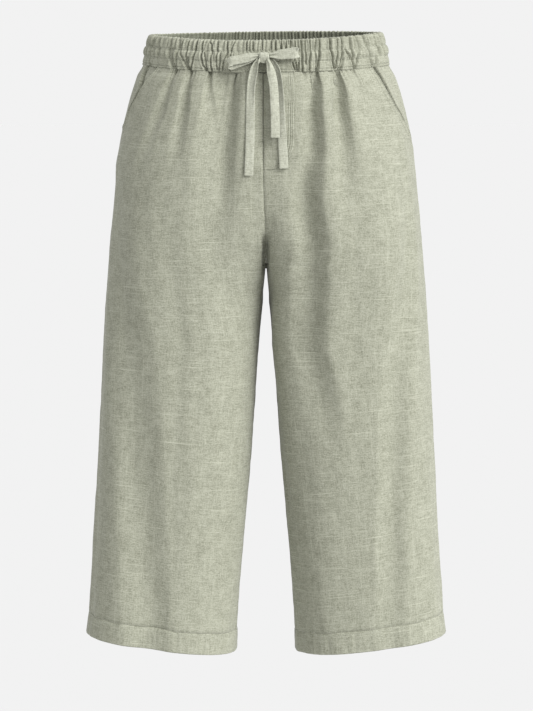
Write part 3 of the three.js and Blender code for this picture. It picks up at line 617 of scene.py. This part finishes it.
def finer(panel, u, z):
    """The small relief of the cloth, in millimetres outwards."""
    seed = SEEDS[panel]
    down = SEAM - z
    place, from_seam = fold_share(panel, u, z)
    across = place * PANEL_WIDTH
    edge = pocket_edge(panel, z)
    rng = np.random.default_rng(seed)
    # Each fold starts at the waist seam as a cluster of two or three small sharp pleats.
    fine = np.zeros_like(u)
    for start, _, at, _, width, *_ in FOLDS[panel]:
        if start != SEAM:
            continue
        for part in np.linspace(-0.75, 0.75, 3 if width > 0.025 else 1):
            where = at + (part + rng.uniform(-0.2, 0.2)) * min(width, 0.035)
            reach, deep, thin = rng.uniform(8, 22), rng.uniform(1.0, 2.1), rng.uniform(0.006, 0.010)
            fine -= deep * np.exp(-down / reach) * hump((u - where) / (thin * (1 + down / 25)))
    for _ in range(9):
        where, reach, deep = rng.uniform(0.12, 0.95), rng.uniform(4, 10), rng.uniform(0.3, 0.9)
        fine -= deep * np.exp(-down / reach) * hump((u - where) / (0.007 * (1 + down / 25)))
    # Long soft waves that run down the leg, and small creases.
    low = smooth(down / 60)
    wave = 1.1 * low * noise(seed + 1, across / 38, z / 210)
    wave += 0.5 * low * noise(seed + 2, across / 17, z / 90)
    wave += 0.28 * noise(seed + 3, across / 14 + z / 60, z / 16)
    wave += 0.16 * noise(seed + 4, across / 6, z / 8)
    free = smooth(from_seam / 0.035) * smooth((edge - u) / 0.035)
    # The cloth swells a little at the side below the pocket mouth.
    swell = 2.2 * np.exp(-(((z + 150) / 20) ** 2)) * smooth((u - 0.84) / 0.13) * panel.endswith("right")
    # Seams draw the cloth into short puckers and dip into a groove.
    near_in, near_out = u * PANEL_WIDTH, (edge - u) * PANEL_WIDTH
    pucker = 0.35 * noise(seed + 5, z / 5.5, z * 0) * (np.exp(-near_in / 7) + np.exp(-near_out / 7))
    groove = -1.3 * np.exp(-near_in / 1.8)
    groove -= 0.9 * np.exp(-near_out / 1.6) * (edge > 0.999)
    # The turned edge of the pocket mouth is thick as far as its stitching.
    if panel.startswith("front"):
        mouth = (edge < 0.999) * smooth(near_out / 1.2) * smooth((9.5 - near_out) / 1.5)
        groove += 0.6 * mouth - 0.6 * hump((near_out - 8.0) / 1.6) * (edge < 0.999)
        groove += 1.0 * hump((near_out - 1.3) / 2.2) * smooth((0.995 - edge) / 0.02)
        # The cloth sinks where the folds start, and behind the bow.
        for start, stop, at, end, width, spread, depth in FOLDS[panel]:
            if start == SEAM and 0 < depth and width < 0.1:
                t = clamp(down / (start - stop))
                here, close = u - lerp(at, end, t), np.exp(-((down / 34) ** 2))
                broad = hump(here / lerp(width, spread, t)) * lerp(0.5, 1.0, smooth(down / 18))
                aside = 0.025 if panel == "front_left" and depth > 5 else 0.0
                narrow = hump((here - aside) / (0.013 * (1 + down / 22)))
                groove += close * depth * (0.6 * broad - 0.42 * narrow)
                groove -= 2.0 * np.exp(-((down / 7) ** 2)) * hump((u - at - aside) / 0.02)
        if panel == "front_right":
            wide = 0.018 + 0.0003 * down
            groove -= 2.6 * hump((u - 0.415 + 0.0003 * down) / wide) * smooth((90 - down) / 60)
        groove -= 6.0 * np.exp(-((near_in / 16) ** 2)) * smooth((z + 155) / 45)
    hem = 0.4 * noise(seed + 6, across / 7, z * 0 + 2) * np.exp(-(z - HEM_STITCH) / 14)
    hem -= 0.35 * np.exp(-(z - HEM_STITCH) / 1.8)
    return fine + wave * free + pucker + groove + hem + swell


GRID = {}


def leg_panel(panel):
    """A front or back of one leg, from the waist seam to the stitching of the hem."""
    face, side = panel.split("_")
    front, sign = face == "front", 1 if side == "left" else -1
    t = np.linspace(0, 1, COLUMNS[face] + 1)
    share, z = np.meshgrid(t - 0.3 * np.sin(2 * np.pi * t) / (2 * np.pi), ROWS, indexing="ij")
    u = column_place(panel, share, z)
    # Down to the crotch the columns close up towards the centre seam, to meet those of the leg.
    drawn = (u - straight_share(panel, u, CROTCH + 0 * z)) * smooth((CROTCH + 60 - z) / 60)
    u = np.where(z > CROTCH, np.maximum(u - drawn, 0.03 * u), u)
    base = cloth(panel, u, z)
    outwards = 1 if panel in ("front_left", "back_right") else -1
    normal = out_of(base, outwards)
    lift = mouth_lift(panel, u, z) if front else 0
    outer = base + normal * (finer(panel, u, z) + lift)[..., None]
    if front:
        # The two legs part a little in front, just above the crotch.
        x, y = outer[..., 0], outer[..., 1]
        near = smooth((PARTING["half"] - np.abs(x - PARTING["x"])) / 1.6) * smooth((-y - 28) / 16)
        outer[..., 1] = y + PARTING["deep"] * near * smooth((-226 - z) / 24) * smooth((z + 297) / 20)
    normal = out_of(outer, outwards)
    inner = outer - normal * CLOTH
    above = ROWS > CROTCH
    middle = cloth(panel, 0.0, ROWS[above])[:, 0]
    ahead = -HALF_GAP if front else HALF_GAP
    for grid in (outer, inner):
        grid[0, above, 0] = middle + sign * HALF_GAP
        grid[0, :, 1] += ahead
        grid[-1, :, 1] += ahead * (u[-1] > 0.999)
    GRID[panel] = (outer, normal, share[:, 0], ROWS)
    uv = np.stack([straight_share(panel, u, z) * PANEL_WIDTH + GRAIN_STARTS[panel], z], -1)
    made = shell("cloth_" + panel, outer, inner, uv, CLOTH_LINEN)
    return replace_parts(made, panel.replace("_", "_panel_"))


def pocket(side):
    """The facing that shows in the slant mouth. It runs on behind the front panel as the pocket bag."""
    panel = "front_" + side
    under = -(CLOTH + POCKET["clear"])
    rows = np.r_[ROWS[ROWS >= MOUTH[side][1] - 4], np.linspace(MOUTH[side][1] - 8, POCKET["bag_bottom"], 16)]
    tucked = 25 / 26  # where the part behind the front panel ends
    t = np.r_[np.linspace(0.5, tucked, 14), 2 + np.linspace(0.02, 1, 86) ** 1.2]
    share, z = np.meshgrid(t, rows, indexing="ij")
    beyond = share > 1.5
    edge = pocket_edge(panel, z)
    last = column_place(panel, tucked + 0 * z, z)
    far = lerp(0.988, 1.0, smooth((0.99 - edge) / 0.06))
    u = np.where(beyond, lerp(last, far, share - 2), column_place(panel, np.minimum(share, 1), z))
    base = cloth(panel, u, z)
    outwards = 1 if panel == "front_left" else -1
    normal = out_of(base, outwards)
    shown = smooth((u - edge - 0.004) / 0.02) * smooth((0.99 - edge) / 0.04)
    away = (u - edge) * PANEL_WIDTH
    foot = MOUTH[side][1]
    strip = CRACK["strip"] * clamp((z + 51) / 26) + 0.8 if side == "right" else 0.0 * z
    wide = lerp(CRACK["top"], CRACK["low"], clamp((SEAM - z) / 80)) * smooth((z - foot) / 26)
    past = away - strip
    beyond_it = smooth((past - wide + 0.6) / 1.8)
    full = CRACK["full"] * smooth((z - foot) / 40)
    open_to = lerp(-CRACK["deep"], full * np.exp(-(((past - wide - 3) / 10) ** 2)) - 0.3, beyond_it)
    side_seam = 0.5 * hump((u - 0.945) / 0.012) - 0.9 * hump((u - 0.963) / 0.009)
    open_to += side_seam * beyond_it * smooth((z - foot) / 30)
    if side == "right":
        open_to = np.where(past < 0, -1.2, lerp(-1.2, open_to, smooth(past / 0.9)))
    open_to = open_to * smooth((z - foot + 4) / 10)
    relief = 0.3 * noise(91, u * 25, z / 15)
    height = lerp(under, open_to, shown * (away > 0)) + relief * (0.3 + 0.7 * shown)
    outer = base + normal * height[..., None]
    # The crack's floor and far wall get the darker linen: painted shade.
    dark = (past > 0.3) & (past < wide + 0.5) & (away > 0) & (z > foot + 6)
    outer[-1, :, 1] -= HALF_GAP
    inner = outer - out_of(outer, outwards) * 1.0
    uv = np.stack([u * PANEL_WIDTH + GRAIN_STARTS["pocket"], z + 35 * (1 if side == "left" else 2)], -1)
    made = shell("cloth_pocket_" + side, outer, inner, uv, CLOTH_LINEN, shade_material=SHADE_LINEN, shade_part=dark)
    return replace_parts(made, "pocket_facing_" + side)


# ---- the waistband ----
def band_point(angle, t, out):
    """A point at height t of the band, so many millimetres outside its middle form."""
    z = lerp(SEAM + 0.1, BAND_TOP + 1.5 * np.cos(angle) + 1, t)
    cos, sin = np.cos(angle), np.sin(angle)
    half, square = HALF(z), SQUARE(z)
    depth = np.where(sin < 0, FRONT(z), BACK(z))
    radius = (np.abs(cos / half) ** square + np.abs(sin / depth) ** square) ** (-1 / square)
    nx, ny = cos / half, sin / depth
    size = np.hypot(nx, ny)
    share = (radius * sin / depth) ** 2
    lift = np.where(sin < 0, -FRONT_DIP, BACK_RISE) * share
    return np.stack([radius * cos + nx / size * out, radius * sin + ny / size * out, z + lift], -1)


BAND_ROUND, HEM_ROUND = 1180, 560  # the flat lengths, for the grain
CHANNELS = [0.0, 0.325, 0.64, 1.0]  # the waist seam, two rows of stitching and the top edge
STITCHED = 0.075  # one more row, just above the waist seam
# How far each channel puffs out, how deep its ribs are behind and in front, their number and sharpness.
CHANNEL_RIBS = [(1.0, 2.6, 0.5, 96, 8), (2.2, 5.4, 1.8, 104, 5), (1.4, 5.4, 2.4, 128, 3)]
# The deep pleats of the front. Where each crosses the waist seam, the two rows of stitching and the top edge,
# in thousandths of the way round from the centre back; the part of the band's height it runs over; its depth.
PLEATS = [
    (303.5, 298.0, 292.5, 281.5, 0.3, 0.7, 3.1), (310.0, 305.5, 301.0, 293.0, 0.3, 1, 3.1),
    (320.5, 316.5, 313.5, 307.0, 0.3, 1, 3.7), (338.0, 335.0, 333.0, 328.5, 0.3, 0.7, 3.5),
    (344.0, 339.0, 336.0, 332.5, 0, 1, 3.5), (348.0, 342.5, 339.0, 334.5, 0, 0.7, 3.0),
    (350.5, 348.5, 350.5, 347.0, 0, 1, 3.2), (368.5, 360.5, 354.5, 355.0, 0, 1, 3.0),
    (370.0, 365.0, 365.0, 365.5, 0, 1, 4.3), (371.5, 368.0, 369.0, 367.5, 0, 0.45, 3.0),
    (374.0, 375.0, 378.5, 378.0, 0, 1, 4.3), (397.5, 390.5, 389.0, 388.5, 0, 1, 4.3),
    (398.5, 396.0, 393.0, 391.5, 0, 0.62, 3.5), (406.5, 404.0, 405.5, 399.0, 0, 1, 3.5),
    (416.0, 413.5, 414.5, 411.5, 0, 1, 3.2), (418.5, 419.0, 419.5, 419.5, 0, 0.6, 2.7),
    (424.0, 425.5, 431.5, 428.0, 0, 1, 3.2), (437.5, 436.5, 437.5, 443.0, 0, 1, 2.7),
    (466.0, 465.5, 465.0, 464.0, 0.66, 1, 3.0), (476.0, 475.5, 475.5, 474.5, 0.66, 1, 3.0),
    (493.0, 493.0, 493.0, 493.0, 0.66, 1, 3.2), (509.5, 509.5, 509.5, 510.0, 0.66, 1, 3.8),
    (517.0, 517.0, 517.5, 518.0, 0.66, 1, 3.8), (527.0, 527.5, 528.0, 528.5, 0.66, 1, 4.2),
    (535.5, 536.0, 536.5, 537.5, 0.66, 1, 3.8), (543.0, 544.0, 544.5, 545.5, 0.66, 1, 4.2),
    (551.0, 551.5, 552.5, 553.5, 0.66, 1, 3.8), (552.5, 547.5, 548.0, 549.5, 0, 0.35, 3.5),
    (555.0, 553.0, 552.5, 552.0, 0, 0.35, 3.5), (556.5, 558.0, 559.0, 560.5, 0, 0.35, 3.2),
    (564.0, 563.5, 563.5, 564.0, 0, 1, 3.5), (569.5, 570.0, 570.0, 571.0, 0.2, 1, 3.5),
    (575.5, 576.0, 578.5, 579.5, 0, 1, 4.2), (585.5, 587.0, 586.0, 590.5, 0, 1, 3.2),
    (588.0, 591.0, 593.5, 596.0, 0, 1, 5.4), (615.0, 613.5, 612.0, 614.0, 0, 1, 5.4),
    (617.0, 619.5, 623.0, 626.0, 0, 1, 4.5), (623.0, 627.0, 630.5, 632.5, 0, 1, 5.4),
    (625.0, 630.5, 635.0, 639.0, 0, 0.4, 3.5), (642.0, 641.5, 635.5, 636.5, 0.25, 0.66, 3.8),
    (646.0, 645.0, 645.5, 647.5, 0, 1, 5.4), (648.5, 653.5, 659.0, 658.0, 0, 1, 4.5),
    (679.0, 677.0, 675.0, 672.0, 0, 1, 5.1), (685.5, 692.0, 697.5, 698.0, 0, 1, 5.4),
    (702.5, 707.5, 711.0, 710.5, 0.3, 1, 3.8),
]
# Where pleats meet at the waist seam they sink into a small dark hollow: place, half width, depth.
HOLLOWS = [
    (0.297, 0.006, 2.6), (0.347, 0.005, 1.8), (0.371, 0.006, 2.4), (0.398, 0.005, 2.0), (0.4065, 0.004, 1.4),
    (0.418, 0.004, 1.2), (0.556, 0.005, 1.4), (0.564, 0.003, 1.2), (0.5875, 0.005, 2.4), (0.622, 0.007, 2.6),
    (0.648, 0.004, 1.8), (0.6835, 0.005, 2.6),
]


def ribs(share, number, sharp, seed, extra=0.0):
    """Uneven rounded ribs with narrow valleys: 0 on a rib and 1 in the deepest valley."""
    rng = np.random.default_rng(seed)
    edges = np.r_[0, np.cumsum(rng.uniform(0.62, 1.38, number))]
    edges /= edges[-1]
    deep = rng.uniform(0.45, 1.0, number + 1)
    deep[-1] = deep[0]
    phase = np.interp(share + extra, edges, np.arange(number + 1))
    near = np.round(phase).astype(int) % (number + 1)
    return np.abs(np.cos(np.pi * phase)) ** sharp * deep[near]


def waistband():
    """The gathered casing, with its ribs, pleats and rows of stitching. It starts at the centre back."""
    levels = np.r_[np.linspace(0, 0.14, 13), np.linspace(0.165, 1, 31)]
    around = np.r_[
        np.linspace(0, 0.27, 220)[:-1], np.linspace(0.27, 0.73, 600)[:-1], np.linspace(0.73, 1, 220),
    ]
    share, t = np.meshgrid(around, levels, indexing="ij")
    gap = 0.0006  # half the gap at the centre back, in radians
    angle = np.pi / 2 + gap + share * (2 * np.pi - 2 * gap)
    lean = 0.0016 * noise(211, share * 30, t * 3)
    front = smooth((0.21 - np.abs(share - 0.5)) / 0.03)
    pleats = np.zeros_like(t)
    thin = lerp(0.0021, 0.0044, smooth((np.abs(share - 0.5) - 0.13) / 0.07))
    for *places, low, high, deep in PLEATS:
        line = column(np.array([(-level, place / 1000) for level, place in zip(CHANNELS, places)]), 1)(-t)
        fade = smooth((t - low) / 0.06 + (low == 0)) * smooth((high - t) / 0.06 + (high == 1))
        valley = hump((share - line) / thin) - 0.2 * hump((np.abs(share - line) - 1.4 * thin) / thin)
        pleats = np.where(np.abs(valley) * deep * fade > np.abs(pleats), valley * deep * fade, pleats)
    out = np.zeros_like(t)
    for k, (puff, behind, before, number, sharp) in enumerate(CHANNEL_RIBS):
        low, high = CHANNELS[k], CHANNELS[k + 1]
        here = (t >= low) & (t <= high if k == 2 else t < high)
        s = clamp((t - low) / (high - low))
        arch = np.sqrt(np.maximum(0, 1 - (2 * s - 1) ** 2))
        # Fine ribs all round, drawn in deepest where the elastic pulls hardest.
        valley = lerp(behind, before, front) * (ribs(share, number, sharp, 220 + k, lean) - 0.25)
        out = np.where(here, 0.3 + puff * arch - (valley + pleats) * lerp(0.6, 1, arch), out)
    for place, width, deep in HOLLOWS:
        out -= 1.6 * deep * hump((share - place) / width) * np.exp(-((t / 0.12) ** 2))
    # The band sinks behind the bow.
    out -= 5.0 * np.exp(-(((share - 0.494) / 0.02) ** 2)) * smooth((0.55 - t) / 0.4)
    # A second row of stitching holds the band 3 mm above the waist seam.
    out -= 1.0 * hump((t - STITCHED) / 0.03) + 0.6 * np.exp(-t / 0.015)
    out += 0.12 * noise(230, share * 300, t * 6)
    pull = 0.8 * ribs(share, 150, 3, 222, lean) * smooth((t - 0.8) / 0.2)
    ribbed = ribs(share, 152, 5, 224)
    inside = 0.9 - 2.6 * ribbed * lerp(0.7, 1, t)
    inset = np.minimum(0.2 - BAND_WALL + inside, out - 0.9)
    # The turnings of the waist seam make a roll inside, as far in as the folds of the leg panels reach.
    tops = np.concatenate([(GRID[panel][0] - GRID[panel][1] * CLOTH)[:, 0] for panel in FOLDS])
    foot = band_point(angle[:, 0], 0.0, inset[:, 0])
    turn_of = lambda points: np.arctan2(points[:, 1], points[:, 0])
    far_of = lambda points: np.hypot(points[:, 0], points[:, 1])
    reach = np.interp(turn_of(foot), turn_of(tops), far_of(tops), period=2 * np.pi)
    roll = np.maximum(far_of(foot) - reach + 0.8, 0)
    roll = np.max([np.roll(roll, k) for k in range(-4, 5)], axis=0)
    inset -= 1.1 * roll[:, None] * smooth((0.12 - t) / 0.1)
    outer = band_point(angle, t, out)
    inner = band_point(angle, t, inset)
    outer[..., 2] -= pull
    inner[..., 2] -= pull
    GRID["band"] = (outer, out_of(outer, -1), share[:, 0], t[0])
    uv = np.stack([share * BAND_ROUND + GRAIN_STARTS["waistband"], t * 40], -1)
    # The inside of the band gets the darker linen: painted shade.
    made = shell("cloth_waistband", outer, inner, uv, CLOTH_LINEN, shade_material=SHADE_LINEN)
    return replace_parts(made, "waistband")


# ---- the hems ----
HEM_ROW = HEM_STITCH - 3.0  # the stitches that hold the turning, just below its top


def hem(side):
    """The turning at the foot of a leg, a ring that starts at the inside seam."""
    columns = 190
    z = np.r_[HEM_STITCH - 0.1, np.linspace(-746, -768.5, 10), -770.2, HEM_EDGE]
    u = np.linspace(0, 1, columns, endpoint=False)
    places = {"front_" + side: u, "back_" + side: 1 - u}
    base = np.concatenate([cloth(panel, *np.meshgrid(at, z, indexing="ij")) for panel, at in places.items()])
    # Normals of the closed ring, so that the two halves meet smoothly.
    wrapped = np.concatenate([base[-2:], base, base[:2]])
    normal = out_of(wrapped, 1 if side == "left" else -1)[2:-2]
    ring, zz = np.meshgrid(np.arange(2 * columns), z, indexing="ij")
    depth = clamp((HEM_STITCH - zz) / (HEM_STITCH - HEM_EDGE))
    belly = 0.7 * smooth(depth / 0.2) * lerp(1, 0.55, depth)
    turn = ring / (2.0 * columns)
    pucker = 0.5 * noise(300, turn * 64, zz * 0) * lerp(1, 0.35, depth)
    pucker += 0.3 * noise(301, turn * 128, depth * 2)
    pucker += 0.3 * noise(302, turn * 32, depth * 1.5)
    groove = -0.25 * np.exp(-(HEM_STITCH - zz) / 1.2)
    groove -= 0.45 * hump((zz - HEM_ROW) / 1.8)
    outer = base + normal * (belly + pucker * smooth(depth / 0.06) + groove)[..., None]
    inner = outer - normal * HEM_WALL * lerp(1, 0.8, smooth((depth - 0.85) / 0.15))[..., None]
    GRID["hem_" + side] = (outer, normal, turn[:, 0], z)
    around = np.concatenate([turn[:, :1], [[1.0]]]) * HEM_ROUND + GRAIN_STARTS["hem_" + side]
    uv = np.stack(np.broadcast_arrays(around, z[None, :]), -1)
    made = shell("cloth_hem_" + side, outer, inner, uv, CLOTH_LINEN, ring=True)
    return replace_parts(made, "hem_" + side)


FLY_TURN, FLY_FOOT = -112.0, -150.0  # where the edge starts to curve in, and its foot
FLY_ROWS = (1.6, 9.2)  # the two rows of stitching, inside the edge


def fly_edge(z):
    """The outer edge of the fly, 40 mm from the centre seam, curving in to it at the foot."""
    curve = np.sqrt(np.maximum(0, 1 - clamp((FLY_TURN - z) / (FLY_TURN - FLY_FOOT)) ** 2))
    return lerp(0.03, 0.226 - 0.0005 * (SEAM - z), curve)


def fly():
    """The mock fly, laid on the front of the wearer's left."""
    z = np.r_[np.linspace(SEAM - 0.6, FLY_TURN, 64), np.linspace(-113.5, FLY_FOOT + 0.3, 30)]
    share, zz = np.meshgrid(np.r_[np.linspace(0, 0.76, 26), np.linspace(0.767, 1, 40)], z, indexing="ij")
    u = lerp(0.003, fly_edge(zz), share)
    base = cloth("front_left", u, zz)
    normal = out_of(base, 1)
    raised = 0.9 * smooth((1 - share) / 0.05) * smooth((zz - FLY_FOOT) / 30)
    from_edge = (fly_edge(zz) - u) * PANEL_WIDTH
    # Each row of stitching lies in a groove, with a small ridge beside it.
    rows = np.zeros_like(u)
    for row, ridge in zip(FLY_ROWS, (0.5, 0.6)):
        rows += hump((from_edge - row) / 1.3) - ridge * hump((from_edge - row - 2.2) / 1.6)
    relief = finer("front_left", u, zz) + 0.12 * noise(401, share * 9, zz / 6)
    rise = lerp(0.45, 0.75, smooth((zz - FLY_FOOT) / 25))
    outer = base + normal * (rise + raised + relief - 0.8 * rows)[..., None]
    inner = base + normal * (rise - 0.35 + relief - 0.8 * rows)[..., None]
    GRID["fly"] = (outer, normal, share[:, 0], z)
    uv = np.stack([u * PANEL_WIDTH + GRAIN_STARTS["fly"], zz + 1.3], -1)
    made = shell("cloth_fly", outer, inner, uv, CLOTH_LINEN)
    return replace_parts(made, "fly")


# ---- stitches ----
def on_grid(name, across, down):
    """Points and normals on a finished grid, at places between its columns and rows."""
    outer, normal, columns, rows = GRID[name]
    i = np.interp(across, columns, np.arange(len(columns)))
    order = np.argsort(rows)
    j = np.interp(down, np.asarray(rows)[order], order.astype(float))
    i0, j0 = np.floor(i).astype(int), np.floor(j).astype(int)
    i1, j1 = np.minimum(i0 + 1, outer.shape[0] - 1), np.minimum(j0 + 1, outer.shape[1] - 1)
    f, g = (i - i0)[:, None], (j - j0)[:, None]
    pick = lambda a: lerp(lerp(a[i0, j0], a[i1, j0], f), lerp(a[i0, j1], a[i1, j1], f), g)
    return pick(outer), pick(normal)


def stitches(name, lines, pitch=3.0, length=2.2, radius=0.3):
    """Short rounded stitches along lines of points, half sunk in the cloth."""
    all_vertices, all_faces = [], []
    ends, sizes, sides = [-0.5, -0.3, 0.3, 0.5], [0.35, 1.0, 1.0, 0.35], 6
    turn = np.arange(sides) * 2 * np.pi / sides
    base = 0
    for points, normals in lines:
        run = run_of(points)
        count = max(1, int(run[-1] // pitch))
        for middle in (np.arange(count) + 0.5) * pitch:
            at = point_at(middle, run, points)
            along = unit(point_at(middle + 0.5, run, points) - at)
            up = point_at(middle, run, normals)
            up = unit(up - along * up.dot(along))
            side = np.cross(along, up)
            for s, k in zip(ends, sizes):
                sink = 0.12 - 0.5 * abs(2 * s) ** 3 * radius
                around = np.cos(turn)[:, None] * side + 0.8 * np.sin(turn)[:, None] * up
                all_vertices.append(at + along * s * length + up * sink + radius * k * around)
            n = len(ends)
            for r in range(n - 1):
                for q in range(sides):
                    a, b = base + r * sides + q, base + r * sides + (q + 1) % sides
                    all_faces.append((a, a + sides, b + sides, b))
            last = base + (n - 1) * sides
            caps = ((base, (0, 1, 2, 3)), (base, (0, 3, 4, 5)), (last, (3, 2, 1, 0)), (last, (5, 4, 3, 0)))
            all_faces += [tuple(start + k for k in order) for start, order in caps]
            base += n * sides
    vertices, faces = np.concatenate(all_vertices), np.array(all_faces)
    if inside_out(vertices, faces):
        faces = faces[:, ::-1]
    uv = vertices[faces][..., [0, 2]]
    return new_object("stitches_" + name, vertices, faces, uv, THREAD)


def row_on(name, level, count):
    """A line all the way round a finished grid, at one level."""
    return on_grid(name, np.linspace(0, 1, count), np.full(count, level))


panels = {name: leg_panel(name) for name in ("front_right", "front_left", "back_right", "back_left")}
pockets = {side: pocket(side) for side in ("right", "left")}
band = waistband()
hems = {side: hem(side) for side in ("right", "left")}
mock_fly = fly()

# The fly has two rows beside its edge, and so has each pocket mouth.
fly_z = np.r_[np.linspace(SEAM - 1, FLY_TURN, 40), np.linspace(-114, FLY_FOOT + 0.7, 40)]
fly_width = (fly_edge(fly_z) - 0.003) * PANEL_WIDTH
fly_stitches = stitches("fly", [on_grid("fly", clamp(1 - inset / fly_width), fly_z) for inset in FLY_ROWS])

for side in ("right", "left"):
    panel = "front_" + side
    z = np.linspace(SEAM - 1, MOUTH[side][1] - 2, 80)
    span = (pocket_edge(panel, z) - 0.5) * PANEL_WIDTH
    lines = [on_grid(panel, 1 - 0.5 * inset / span, z) for inset in (1.8, 8.0)]
    stitches("pocket_" + side, lines)

hem_rows = {side: stitches("hem_" + side, [row_on("hem_" + side, HEM_ROW, 900)]) for side in hems}
band_rows = stitches("waistband", [row_on("band", level, 2400) for level in (STITCHED, *CHANNELS[1:3])])

# ---- studio ----
BACKGROUND = 0.887  # how bright the studio is all round
FLOOR = -2.0
# One large soft key from the wearer's left, in front and above, in an evenly lit white studio.
SUN, SUN_HEIGHT, SUN_ROUND, SUN_SOFT = 1.3, 30, 50, 40


def studio_floor():
    """A wide plain floor, as bright under the lights as the studio behind it."""
    mesh = bpy.data.meshes.new("studio_floor")
    count, reach = 96, 60.0
    turns = [2 * math.pi * k / count for k in range(count)]
    edge = [(reach * math.cos(turn), reach * math.sin(turn), FLOOR) for turn in turns]
    mesh.from_pydata(edge, [], [tuple(range(count))])
    material = bpy.data.materials.new("studio_floor")
    material.use_nodes = True
    shader = material.node_tree.nodes["Principled BSDF"]
    tone = BACKGROUND / (BACKGROUND + SUN * math.sin(math.radians(SUN_HEIGHT)))
    shader.inputs["Base Color"].default_value = (tone, tone, tone, 1)
    shader.inputs["Roughness"].default_value = 1.0
    shader.inputs["Specular IOR Level"].default_value = 0.0
    mesh.materials.append(material)
    made = bpy.data.objects.new("studio_floor", mesh)
    scene.collection.objects.link(made)


key = bpy.data.lights.new("key", "SUN")
key.energy = SUN * math.pi
key.angle = math.radians(SUN_SOFT)
key_light = bpy.data.objects.new("key", key)
scene.collection.objects.link(key_light)
key_light.rotation_euler = (math.radians(90 - SUN_HEIGHT), 0, math.radians(SUN_ROUND))
studio_floor()

world = bpy.data.worlds.new("studio")
world.use_nodes = True
world.node_tree.nodes["Background"].inputs["Color"].default_value = (1, 1, 1, 1)
world.node_tree.nodes["Background"].inputs["Strength"].default_value = BACKGROUND
scene.world = world
